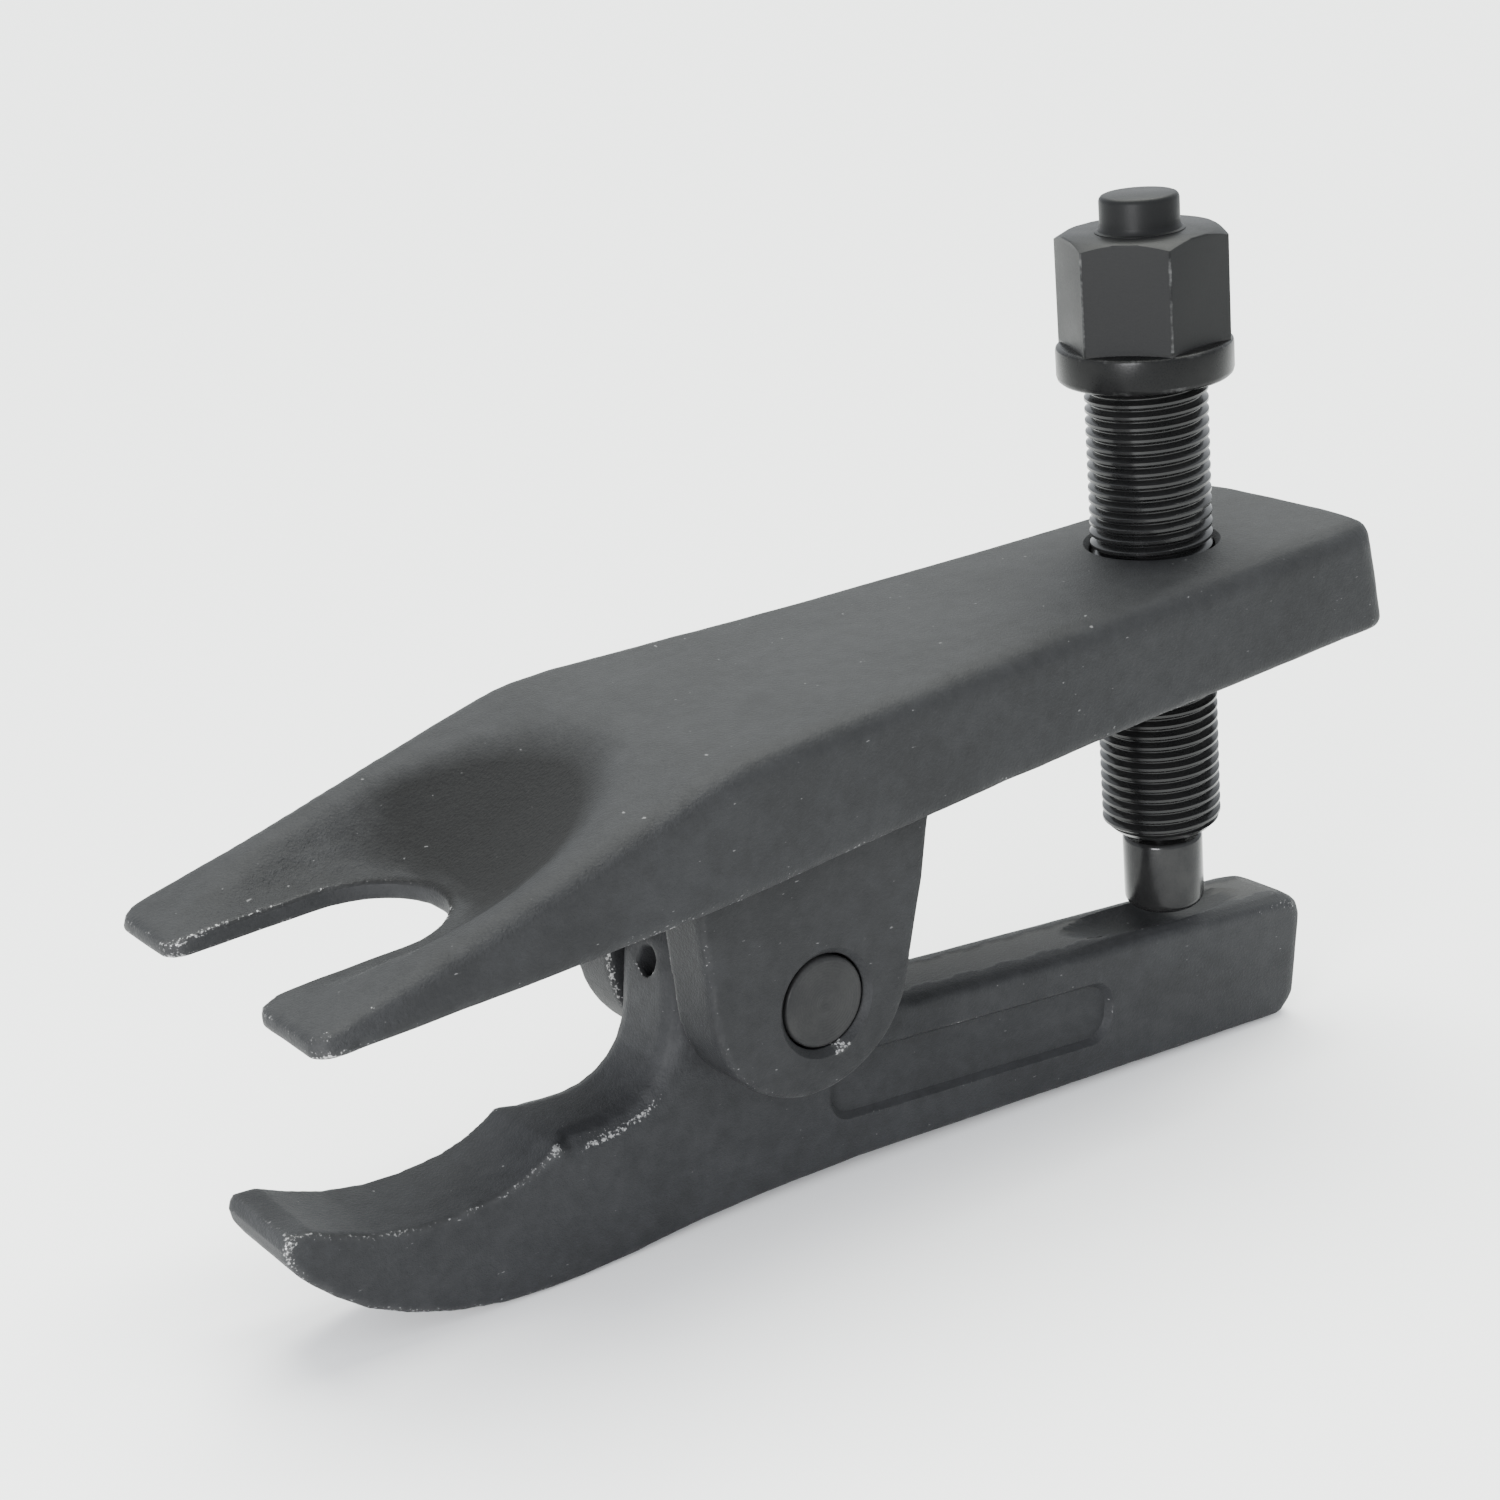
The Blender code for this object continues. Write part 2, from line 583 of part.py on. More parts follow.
def make_forcing_screw(skin):
    zero = FORK_TOP
    profile = [(THREAD_END_R, zero + THREAD_END), (THREAD_R, zero + THREAD_END + THREAD_END_CHAMFER)]
    profile += [(THREAD_R, zero + FLANGE_BOTTOM), (FLANGE_R - 0.3, zero + FLANGE_BOTTOM)]
    profile += [(FLANGE_R, zero + FLANGE_BOTTOM + 0.3), (FLANGE_R, zero + FLANGE_RIM)]
    profile += [(FLANGE_R - 0.35, zero + FLANGE_RIM + 0.35), (FLANGE_SHOULDER_R, zero + FLANGE_TOP)]
    profile += [(STUB_R, zero + FLANGE_TOP), (STUB_R, zero + STUB_TOP - STUB_CHAMFER)]
    profile += [(STUB_R - STUB_CHAMFER, zero + STUB_TOP)]
    screw = new_object("forcing_screw", lathe(profile, SEGMENTS_LARGE))
    corner_r = HEX_ACROSS_FLATS / math.sqrt(3.0)
    profile = [(corner_r, zero + FLANGE_TOP - 0.6), (corner_r, zero + HEX_TOP)]
    hexagon = lathe(profile, 6, math.radians(HEX_TURN))
    head = new_object("hexagon", hexagon)
    crown = HEX_ACROSS_FLATS / 2.0 - 0.15
    flank = 4.0
    profile = [(crown + flank, zero + FLANGE_TOP - 3.0)]
    profile += [(crown + flank, zero + HEX_TOP - flank * HEX_CHAMFER_SLOPE), (crown, zero + HEX_TOP)]
    cut(head, new_object("crown", lathe(profile, SEGMENTS_LARGE)), "INTERSECT")
    cut(screw, head, "UNION")
    socket_r = TIP_SPIGOT_R + HOLE_GAP
    profile = [(socket_r, zero + THREAD_END - 2.0), (socket_r, zero + TIP_SPIGOT_TOP + HOLE_GAP)]
    seat = lathe(profile, SEGMENTS_SMALL)
    cut(screw, new_object("spigot_seat", seat))
    screw.data.transform(Matrix.Translation((SCREW_X, 0.0, 0.0)))
    finish(screw, FORK_TILT, skin)
    origin_to(screw, FORK_TILT, (SCREW_X, 0.0, FORK_TOP))
    return screw


def make_pressure_tip(skin):
    zero = FORK_TOP
    profile = [(TIP_R - TIP_BEVEL, zero + TIP_BOTTOM), (TIP_R - 0.5, zero + TIP_BOTTOM + 0.7)]
    profile += [(TIP_R, zero + TIP_BOTTOM + 2.0), (TIP_R, zero + TIP_TOP - 0.3)]
    profile += [(TIP_R - 0.3, zero + TIP_TOP), (TIP_SPIGOT_R, zero + TIP_TOP)]
    profile += [(TIP_SPIGOT_R, zero + TIP_SPIGOT_TOP - 0.4), (TIP_SPIGOT_R - 0.4, zero + TIP_SPIGOT_TOP)]
    tip = new_object("pressure_tip", lathe(profile, SEGMENTS_SMALL))
    tip.data.transform(Matrix.Translation((SCREW_X, 0.0, 0.0)))
    finish(tip, FORK_TILT, skin)
    origin_to(tip, FORK_TILT, (SCREW_X, 0.0, FORK_TOP))
    return tip


clear_scene()
make_fork_arm(material("forged_fork", (0.085, 0.088, 0.085), 0.55, 0.75))
make_lever_arm(material("forged_lever", (0.075, 0.078, 0.08), 0.55, 0.75))
make_pivot_pin(material("pin_steel", (0.10, 0.10, 0.10), 0.4, 0.85))
make_grub_screw(material("grub_steel", (0.03, 0.03, 0.032), 0.45, 0.8))
make_forcing_screw(material("screw_steel", (0.035, 0.036, 0.038), 0.32, 0.85))
make_pressure_tip(material("tip_steel", (0.045, 0.046, 0.048), 0.28, 0.85))
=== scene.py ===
import json
import math

import bpy
import numpy as np
from mathutils import Matrix, Vector


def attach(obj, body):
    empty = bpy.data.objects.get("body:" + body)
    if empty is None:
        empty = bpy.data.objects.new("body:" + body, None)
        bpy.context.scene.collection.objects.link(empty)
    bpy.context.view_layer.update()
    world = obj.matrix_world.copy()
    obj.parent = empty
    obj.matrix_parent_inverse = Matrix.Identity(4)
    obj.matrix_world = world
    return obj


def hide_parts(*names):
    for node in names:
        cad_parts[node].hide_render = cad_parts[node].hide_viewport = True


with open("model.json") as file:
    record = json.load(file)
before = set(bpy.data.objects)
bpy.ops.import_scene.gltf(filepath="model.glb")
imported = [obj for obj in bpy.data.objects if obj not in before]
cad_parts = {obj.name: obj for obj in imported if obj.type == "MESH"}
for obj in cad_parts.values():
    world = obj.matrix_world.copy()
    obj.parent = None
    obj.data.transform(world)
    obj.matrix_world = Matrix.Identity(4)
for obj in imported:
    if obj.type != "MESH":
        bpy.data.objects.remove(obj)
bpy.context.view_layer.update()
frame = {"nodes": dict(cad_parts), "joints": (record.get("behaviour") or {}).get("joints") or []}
MM = 0.001

# ---- Camera ----------------------------------------------------------------
# Stands off the fork end, a little above the tool, and looks along it.
HEADING = -36.22
LOOK_DOWN = 18.20
LEAN = -1.33
CAMERA_PLACE = (-0.19355, -0.24848, 0.15831)
lens = bpy.data.cameras.new("camera")
lens.lens = 65.07
lens.sensor_width = 36.0
lens.clip_start = 0.01
camera = bpy.data.objects.new("camera", lens)
bpy.context.scene.collection.objects.link(camera)
turn = Matrix.Rotation(math.radians(HEADING), 4, "Z")
turn = turn @ Matrix.Rotation(math.radians(90.0 - LOOK_DOWN), 4, "X")
turn = turn @ Matrix.Rotation(math.radians(LEAN), 4, "Z")
camera.matrix_world = Matrix.Translation(CAMERA_PLACE) @ turn
bpy.context.scene.camera = camera

# ---- Floor and light -------------------------------------------------------
# A plain pale floor under a wide soft light from above and behind, with a low
# light beside the jaws and an even glow all round.
FLOOR_SIZE = 30.0
FLOOR_DROP = 0.3 * MM
FLOOR_GREY = 0.9
bpy.ops.mesh.primitive_plane_add(size=FLOOR_SIZE, location=(0.0, 0.0, -FLOOR_DROP))
floor = bpy.context.object
floor.name = "floor"
paint = bpy.data.materials.new("pale_floor")
paint.use_nodes = True
pale = paint.node_tree.nodes["Principled BSDF"]
pale.inputs["Base Color"].default_value = (FLOOR_GREY, FLOOR_GREY, FLOOR_GREY, 1.0)
pale.inputs["Roughness"].default_value = 0.8
floor.data.materials.append(paint)


def soft_light(name, kind, place, aim, power, colour, **sizes):
    """Light of any kind at a place in metres, turned towards its aim."""
    light = bpy.data.lights.new(name, kind)
    light.energy = power
    light.color = colour
    for setting, value in sizes.items():
        setattr(light, setting, value)
    stand = bpy.data.objects.new(name, light)
    bpy.context.scene.collection.objects.link(stand)
    stand.location = place
    stand.rotation_euler = (Vector(place) - Vector(aim)).to_track_quat("Z", "Y").to_euler()


soft_light("overhead", "SUN", place=(0.4, 0.55, 2.1), aim=(0.0, 0.0, 0.05), power=7.5,
           colour=(0.98, 1.0, 0.93), angle=math.radians(55.0))
soft_light("jaw_side", "SPOT", place=(-0.50, -0.25, 0.14), aim=(-0.04, 0.0, 0.05), power=27.0,
           colour=(0.98, 0.98, 1.0), spot_size=math.radians(56.0), spot_blend=1.0, shadow_soft_size=0.12)
sky = bpy.data.worlds.new("studio")
bpy.context.scene.world = sky
sky.use_nodes = True
glow = sky.node_tree.nodes["Background"]
glow.inputs["Color"].default_value = (0.92, 0.96, 1.0, 1.0)
glow.inputs["Strength"].default_value = 1.7

# ---- Forked arm ------------------------------------------------------------
# Drop-forged steel under a dark phosphate coat: a plate with a fork and its
# hammered dish at one end, two ears below it and a bored tail. The forging is
# rounded and slightly lumpy all over, and its holes are drilled afterwards.
joints = {joint["name"]: joint for joint in frame["joints"]}
pivot = Vector(joints["arm_pivot"]["pos_m"])
screw_line = Vector(joints["screw_spin"]["axis"])
fork_tilt = math.atan2(-screw_line.x, screw_line.z)
fork_place = Matrix.Translation(pivot) @ Matrix.Rotation(-fork_tilt, 4, "Y")
FORK_TOP = 36.9 * MM
FORK_BOTTOM = 21.6 * MM
EAR_OUTER = 15.2 * MM
EAR_INNER = 6.85 * MM
PIN_HOLE_R = 6.05 * MM
PIN_HOLE_FLARE = 0.85 * MM
BORE_X = 70.2 * MM
BORE_R = 8.25 * MM
BORE_FLARE = 0.75 * MM
FORK_VOXEL = 0.52 * MM
PLUG_MARGIN = 0.15 * MM
DRILL_OVERRUN = 2.0 * MM
QUIET_MARGIN = 0.7 * MM
WORN_RIM_FROM_X = 0.5 * MM
WORN_RIM_TO_X = 3.0 * MM
WORN_RIM_BELOW_Z = -5.6 * MM
BEND_X = -16.0 * MM
TINE_FALL = 0.25
DISH_DEEP = 1.5 * MM
HAMMERED_FROM_X = -12.0 * MM
HAMMERED_FADE = 8.0 * MM
SLOT_HEAD_X = -56.0 * MM


def pick(piece):
    """Make one piece the only one selected, and the active one."""
    bpy.ops.object.select_all(action="DESELECT")
    piece.select_set(True)
    bpy.context.view_layer.objects.active = piece


def shape(piece, kind, **settings):
    """Add a modifier to a piece and apply it."""
    pick(piece)
    modifier = piece.modifiers.new(kind.lower(), kind)
    for setting, value in settings.items():
        setattr(modifier, setting, value)
    bpy.ops.object.modifier_apply(modifier=modifier.name)


def combine(piece, other, kind):
    """Cut, join or trim a piece with another, which is used up."""
    shape(piece, "BOOLEAN", operation=kind, solver="MANIFOLD", object=other)
    bpy.data.objects.remove(other, do_unlink=True)


def tidy_surface(piece):
    """Merge doubled points and point every face outwards."""
    pick(piece)
    bpy.ops.object.mode_set(mode="EDIT")
    bpy.ops.mesh.select_all(action="SELECT")
    bpy.ops.mesh.remove_doubles(threshold=1e-6)
    bpy.ops.mesh.normals_make_consistent(inside=False)
    bpy.ops.object.mode_set(mode="OBJECT")


def blank_from(node, name, place):
    """Editable copy of a frame node, brought into its arm's own frame."""
    piece = bpy.data.objects.new(name, frame["nodes"][node].data.copy())
    bpy.context.scene.collection.objects.link(piece)
    piece.data.materials.clear()
    piece.data.transform(place.inverted())
    tidy_surface(piece)
    return piece


def turned(name, profile, steps, place=Matrix.Identity(4)):
    """Turned body from (radius, height) pairs in metres that start and end on the axis."""
    data = bpy.data.meshes.new(name)
    points = [(radius, 0.0, height) for radius, height in profile]
    data.from_pydata(points, [(index, index + 1) for index in range(len(points) - 1)], [])
    piece = bpy.data.objects.new(name, data)
    bpy.context.scene.collection.objects.link(piece)
    pick(piece)
    bpy.ops.object.mode_set(mode="EDIT")
    bpy.ops.mesh.select_all(action="SELECT")
    bpy.ops.mesh.spin(steps=steps, angle=math.tau, center=(0, 0, 0), axis=(0, 0, 1))
    bpy.ops.object.mode_set(mode="OBJECT")
    tidy_surface(piece)
    piece.data.transform(place)
    return piece


def melt_in(piece, *fillers):
    """Join bodies with a piece so that the remesh makes one solid of them."""
    pick(piece)
    for filler in fillers:
        filler.select_set(True)
    bpy.ops.object.join()


def forge(piece, voxel, softening, lump_size, lump_height):
    """Give a sharp blank the soft corners and low lumps of a forging."""
    shape(piece, "REMESH", mode="VOXEL", voxel_size=voxel, use_smooth_shade=True)
    shape(piece, "SMOOTH", factor=0.5, iterations=softening)
    lumps = bpy.data.textures.new(piece.name + "_lumps", "CLOUDS")
    lumps.noise_scale = lump_size
    lumps.noise_depth = 2
    shape(piece, "DISPLACE", texture=lumps, texture_coords="LOCAL", strength=lump_height, mid_level=0.5)


def add_values(piece, name, values):
    """Store one number at each point of a piece, for its finish to read."""
    attribute = piece.data.attributes.new(name, "FLOAT", "POINT")
    attribute.data.foreach_set("value", np.asarray(values, np.float32))


def points_and_normals(piece):
    """Every point of a piece and the way its surface faces there, one row each."""
    count = len(piece.data.vertices)
    points = np.empty(count * 3, np.float32)
    piece.data.vertices.foreach_get("co", points)
    normals = np.empty(count * 3, np.float32)
    piece.data.vertex_normals.foreach_get("vector", normals)
    return points.reshape(-1, 3), normals.reshape(-1, 3)


def mark_ridges(piece, rounds, height, quiet):
    """Store how far each point stands out of its surroundings, but not in the quiet places."""
    points, normals = points_and_normals(piece)
    edges = np.empty(len(piece.data.edges) * 2, np.int32)
    piece.data.edges.foreach_get("vertices", edges)
    first, second = edges.reshape(-1, 2).T
    count = len(points)
    share = np.bincount(first, minlength=count) + np.bincount(second, minlength=count)
    smooth = points.copy()
    for _ in range(rounds):
        for axis in range(3):
            total = np.bincount(first, smooth[second, axis], count)
            total += np.bincount(second, smooth[first, axis], count)
            smooth[:, axis] = 0.5 * smooth[:, axis] + 0.5 * total / np.maximum(share, 1)
    proud = ((points - smooth) * normals).sum(axis=1) / height
    proud[quiet(points)] = 0.0
    add_values(piece, "ridge", np.clip(proud, -1.0, 1.0))


def settle(piece, place, body, node, skin, crease=35.0):
    """Put a finished piece in its place, coat it and hand it to its body."""
    piece.data.transform(place)
    pick(piece)
    bpy.ops.object.shade_smooth_by_angle(angle=math.radians(crease))
    piece.data.materials.clear()
    piece.data.materials.append(skin)
    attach(piece, body)
    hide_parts(node)


class Value:
    """A shader value that can be used in ordinary arithmetic."""

    def __init__(self, finish, socket):
        self.finish = finish
        self.socket = socket

    def _maths(self, operation, *values):
        inputs = {index: value for index, value in enumerate(values)}
        return self.finish.node("ShaderNodeMath", {"operation": operation}, inputs)()

    def __add__(self, other):
        return self._maths("ADD", self, other)

    __radd__ = __add__

    def __sub__(self, other):
        return self._maths("SUBTRACT", self, other)

    def __rsub__(self, other):
        return self._maths("SUBTRACT", other, self)

    def __mul__(self, other):
        return self._maths("MULTIPLY", self, other)

    __rmul__ = __mul__

    def __pow__(self, other):
        return self._maths("POWER", self, other)

    def most(self, other):
        return self._maths("MAXIMUM", self, other)

    def rise(self, low, high):
        """Smooth step: 0 where this is at low or beyond it, 1 where it is at high or beyond."""
        settings = {"interpolation_type": "SMOOTHSTEP"}
        return self.finish.node("ShaderNodeMapRange", settings, {0: self, 1: low, 2: high})()


class Finish:
    """One procedural finish, in millimetres of a piece's own frame."""

    def __init__(self, name, place):
        self.material = bpy.data.materials.new(name)
        self.material.use_nodes = True
        self.tree = self.material.node_tree
        self.shader = self.tree.nodes["Principled BSDF"]
        spot = place.to_translation()
        lean = place.to_euler()
        here = self.node("ShaderNodeTexCoord")("Object")
        inputs = {"Vector": here, "Location": spot, "Rotation": lean, "Scale": (MM, MM, MM)}
        self.here = self.node("ShaderNodeMapping", {"vector_type": "TEXTURE"}, inputs)()

    def node(self, kind, settings=None, inputs=None):
        """Add a node and return a function that gives its outputs by name or number."""
        made = self.tree.nodes.new(kind)
        for setting, value in (settings or {}).items():
            setattr(made, setting, value)
        for key, value in (inputs or {}).items():
            socket = self._find(made.inputs, key)
            if isinstance(value, Value):
                self.tree.links.new(value.socket, socket)
            else:
                socket.default_value = value
        return lambda key=0: Value(self, self._find(made.outputs, key))

    @staticmethod
    def _find(sockets, key):
        if isinstance(key, int):
            return sockets[key]
        by_identifier = [socket for socket in sockets if socket.identifier == key]
        return by_identifier[0] if by_identifier else sockets[key]

    def noise(self, per_mm, detail, rough, stretch=None):
        """Noise about 0.5, with a number of lumps per millimetre."""
        where = self.here
        if stretch:
            where = self.node("ShaderNodeMapping", {}, {"Vector": self.here, "Scale": stretch})()
        inputs = {"Vector": where, "Scale": per_mm, "Detail": detail, "Roughness": rough}
        return self.node("ShaderNodeTexNoise", {}, inputs)(0)

    def value_of(self, attribute):
        """The numbers that add_values stored under a name."""
        return self.node("ShaderNodeAttribute", {"attribute_name": attribute})("Fac")

    def along(self):
        """The three coordinates, in millimetres."""
        split = self.node("ShaderNodeSeparateXYZ", {}, {"Vector": self.here})
        return split("X"), split("Y"), split("Z")

    def blend(self, factor, first, second):
        inputs = {"Factor_Float": factor, "A_Color": first, "B_Color": second}
        return self.node("ShaderNodeMix", {"data_type": "RGBA"}, inputs)("Result_Color")

    def bump(self, height, depth, below=None):
        """Relief of a height from 0 to 1 over a depth in millimetres."""
        inputs = {"Height": height, "Strength": 1.0, "Distance": depth * MM}
        if below:
            inputs["Normal"] = below
        return self.node("ShaderNodeBump", {}, inputs)()

    def feed(self, **inputs):
        """Set or link inputs of the shader, and return the material."""
        for name, value in inputs.items():
            socket = self.shader.inputs[name.replace("_", " ")]
            if isinstance(value, Value):
                self.tree.links.new(value.socket, socket)
            else:
                socket.default_value = value
        return self.material


def grey(level, warm=0.0, cool=0.0):
    """Grey of one level, with a share more red for warm or more blue for cool."""
    green = level * (1.0 + warm * 0.6 + cool * 0.3)
    return (level * (1.0 + warm), green, level * (1.0 + cool), 1.0)


STEEL_SHINE = grey(0.3, 0.02, 0.02)


def forged_skin(name, place, level):
    """Phosphate coat: dull dark grey, mottled, rubbed bright in spots on the ridges, ground lighter on a
    dressed top that also carries a painted highlight, and darkened by painted shade on the dish's back.
    """
    skin = Finish(name, place)
    patches = skin.noise(0.07, 3.0, 0.6)
    mottle = skin.noise(0.55, 4.0, 0.65)
    grain = skin.noise(2.6, 3.0, 0.6)
    fine = skin.noise(7.5, 2.0, 0.6)
    ridge = skin.value_of("ridge")
    hammered = skin.value_of("hammered")
    tone = patches * 0.45 + mottle * 0.4 + grain * 0.15
    dark = grey(level * 0.74, 0.0, 0.12)
    light = grey(level * 1.34, 0.0, 0.1)
    coat = skin.blend(tone.rise(0.3, 0.7), dark, light)
    rubbed = (ridge * 0.8 + mottle * 0.4).rise(0.45, 1.1)
    coat = skin.blend(rubbed * 0.5, coat, grey(level * 2.2))
    # Dressed top of the lever's bar: a ground flat, lighter partly in its own colour and partly as a
    # painted highlight where the flat top catches the light.
    dressed_and_highlit = skin.value_of("dressed_and_highlit")
    coat = skin.blend(dressed_and_highlit * 0.8, coat, grey(level * 2.6, 0.03, 0.0))
    # Painted shade: the dish's back wall, which faces the slot, is darkened in colour (and roughened) in
    # place of the shade that falls on it.
    painted_dish_shade = skin.value_of("painted_dish_shade")
    coat = skin.blend(painted_dish_shade * 0.8, coat, grey(level * 0.3))
    chafed = skin.value_of("chafed")
    flecks = (ridge * 0.45 + chafed * 0.34 + grain * 1.1 + patches * 0.5).rise(1.2, 1.36)
    nicks = skin.noise(0.9, 2.0, 0.4, (1.0, 1.0, 3.0)).rise(0.755, 0.80)
    bare = flecks.most(nicks * 0.4)
    coat = skin.blend(bare * 0.8, coat, STEEL_SHINE)
    rough = 0.62 - rubbed * 0.12 - bare * 0.2 + painted_dish_shade * 0.2 + (fine - 0.5) * 0.2
    pits = skin.bump(grain, 0.10)
    pits = skin.bump(hammered * (mottle * 0.65 + grain * 0.35), 0.55, pits)
    pits = skin.bump(fine, 0.03, pits)
    skin.feed(Metallic=bare * 0.6, Specular_IOR_Level=0.16)
    return skin.feed(Base_Color=coat, Roughness=rough, Normal=pits)


fork = blank_from("fork_arm", "forged_fork_arm", fork_place)
plugs = []
for side in (-1.0, 1.0):
    bpy.ops.mesh.primitive_cylinder_add(
        vertices=64, radius=PIN_HOLE_R + PIN_HOLE_FLARE + PLUG_MARGIN, depth=EAR_OUTER - EAR_INNER,
        location=(0.0, side * (EAR_OUTER + EAR_INNER) / 2.0, 0.0), rotation=(math.pi / 2.0, 0.0, 0.0))
    plugs.append(bpy.context.object)
bpy.ops.mesh.primitive_cylinder_add(
    vertices=64, radius=BORE_R + BORE_FLARE + PLUG_MARGIN, depth=FORK_TOP - FORK_BOTTOM - 0.05 * MM,
    location=(BORE_X, 0.0, (FORK_TOP + FORK_BOTTOM) / 2.0))
plugs.append(bpy.context.object)
melt_in(fork, *plugs)
forge(fork, FORK_VOXEL, softening=3, lump_size=7.0 * MM, lump_height=0.16 * MM)
reach = EAR_OUTER + DRILL_OVERRUN
wide = PIN_HOLE_R + PIN_HOLE_FLARE + DRILL_OVERRUN
profile = [(0.0, -reach), (wide, -reach), (PIN_HOLE_R, -EAR_OUTER + PIN_HOLE_FLARE)]
profile += [(PIN_HOLE_R, EAR_OUTER - PIN_HOLE_FLARE), (wide, reach), (0.0, reach)]
combine(fork, turned("pin_drill", profile, 96, Matrix.Rotation(math.pi / 2.0, 4, "X")), "DIFFERENCE")
wide = BORE_R + BORE_FLARE + DRILL_OVERRUN
low = FORK_BOTTOM - DRILL_OVERRUN
high = FORK_TOP + DRILL_OVERRUN
profile = [(0.0, low), (wide, low), (BORE_R, FORK_BOTTOM + BORE_FLARE)]
profile += [(BORE_R, FORK_TOP - BORE_FLARE), (wide, high), (0.0, high)]
combine(fork, turned("bore_drill", profile, 96, Matrix.Translation((BORE_X, 0.0, 0.0))), "DIFFERENCE")


def drilled(points):
    """Rims of the drilled holes, which stay dark but for one worn spot under the pin."""
    along, across, up = points.T
    around_pin = np.hypot(along, up) < PIN_HOLE_R + PIN_HOLE_FLARE + QUIET_MARGIN
    worn_spot = (along > WORN_RIM_FROM_X) & (along < WORN_RIM_TO_X) & (up < WORN_RIM_BELOW_Z)
    around_bore = np.hypot(along - BORE_X, across) < BORE_R + BORE_FLARE + QUIET_MARGIN
    return (around_pin & ~worn_spot) | around_bore


mark_ridges(fork, rounds=12, height=0.35 * MM, quiet=drilled)
points, normals = points_and_normals(fork)
top_face = FORK_TOP + np.minimum(points[:, 0] - BEND_X, 0.0) * TINE_FALL
sunk = np.clip((top_face - points[:, 2]) / DISH_DEEP, 0.0, 1.0)
facing_up = np.clip(normals[:, 2] * 2.0 - 0.4, 0.0, 1.0)
before_bend = np.clip((HAMMERED_FROM_X - points[:, 0]) / HAMMERED_FADE, 0.0, 1.0)
in_dish = sunk * facing_up * before_bend
add_values(fork, "hammered", in_dish)
# Painted shade mask for the coat: the dish walls that face the slot, where the dish's back falls into
# shade.
facing_slot = np.clip((-0.2 - normals[:, 0]) / 0.2, 0.0, 1.0) * (points[:, 0] > SLOT_HEAD_X)
add_values(fork, "painted_dish_shade", in_dish * facing_slot)
fork_skin = forged_skin("fork_phosphate", fork_place, 0.0115)
settle(fork, fork_place, "fork", "fork_arm", fork_skin)


# ---- Lever arm -------------------------------------------------------------
# The lower forging, with the same coat: a curved jaw, a round knuckle between
# the ears, and a straight bar with a blank panel, a dressed top and a groove
# milled for the screw's tip.
LEVER_TILT = 1.3
LEVER_VOXEL = 0.42 * MM
GROOVE_X = 70.0 * MM
GROOVE_Y = -0.35 * MM
GROOVE_R = 5.4 * MM
GROOVE_SWING = 65.25 * MM
GROOVE_FLOOR = -10.88 * MM
BAR_FALL = 0.0238
BAR_TOP_AT_GROOVE = -8.7 * MM
BAR_HALF_WIDTH = 6.5 * MM
DRESSED_HALF_WIDTH = 3.4
DRESSED_FROM_X = 17.0 * MM
DRESSED_STEP = 0.14 * MM
PANEL_X = 31.6 * MM
PANEL_Z = -17.3 * MM
PANEL_TILT = -1.4
PANEL_HALF_LENGTH = 24.2 * MM
PANEL_HALF_HEIGHT = 4.5 * MM
PANEL_CORNER = 3.6 * MM
PANEL_DEPTH = 0.95 * MM
PANEL_DRAFT = 0.7 * MM
KNUCKLE_R = 14.0 * MM
CHAFE_X = -23.0 * MM
CHAFE_Z = -13.5 * MM
CHAFE_REACH = 7.0 * MM
lever_place = Matrix.Translation(pivot) @ Matrix.Rotation(math.radians(LEVER_TILT), 4, "Y")
lever = blank_from("lever_arm", "forged_lever_arm", lever_place)


def block(length, width, height, middle, tilt):
    """Box that fills a hollow of the blank, sized in millimetres."""
    bpy.ops.mesh.primitive_cube_add(
        size=1.0, scale=(length * MM, width * MM, height * MM), rotation=(0.0, tilt, 0.0), location=middle)
    return bpy.context.object


# The groove and the panel are filled here and cut again below, so that their
# edges come out crisp on the softened forging.
groove_middle = (GROOVE_X, GROOVE_Y, BAR_TOP_AT_GROOVE - 3.03 * MM)
groove_filler = block(38.0, 9.0, 6.0, groove_middle, math.atan(BAR_FALL))
panel_middle = (PANEL_X, -BAR_HALF_WIDTH + 1.03 * MM, PANEL_Z)
panel_filler = block(50.4, 2.0, 10.6, panel_middle, math.radians(-PANEL_TILT))
melt_in(lever, groove_filler, panel_filler)
forge(lever, LEVER_VOXEL, softening=1, lump_size=6.0 * MM, lump_height=0.1 * MM)
bpy.ops.mesh.primitive_torus_add(
    major_radius=GROOVE_SWING - GROOVE_R, minor_radius=GROOVE_R, major_segments=360, minor_segments=96,
    rotation=(math.pi / 2.0, 0.0, 0.0), location=(GROOVE_X, GROOVE_Y, GROOVE_FLOOR + GROOVE_SWING))
combine(lever, bpy.context.object, "DIFFERENCE")
outline = []
for quarter, (along, up) in enumerate(((1, 1), (-1, 1), (-1, -1), (1, -1))):
    for step in range(9):
        angle = math.radians(90.0 * quarter + 11.25 * step)
        outline.append((along * (PANEL_HALF_LENGTH - PANEL_CORNER) + PANEL_CORNER * math.cos(angle), 0.0,
                        up * (PANEL_HALF_HEIGHT - PANEL_CORNER) + PANEL_CORNER * math.sin(angle)))
data = bpy.data.meshes.new("panel_die")
data.from_pydata(outline, [], [list(range(len(outline)))])
die = bpy.data.objects.new("panel_die", data)
bpy.context.scene.collection.objects.link(die)
pick(die)
narrow = (1.0 - PANEL_DRAFT / PANEL_HALF_LENGTH, 1.0, 1.0 - PANEL_DRAFT / PANEL_HALF_HEIGHT)
bpy.ops.object.mode_set(mode="EDIT")
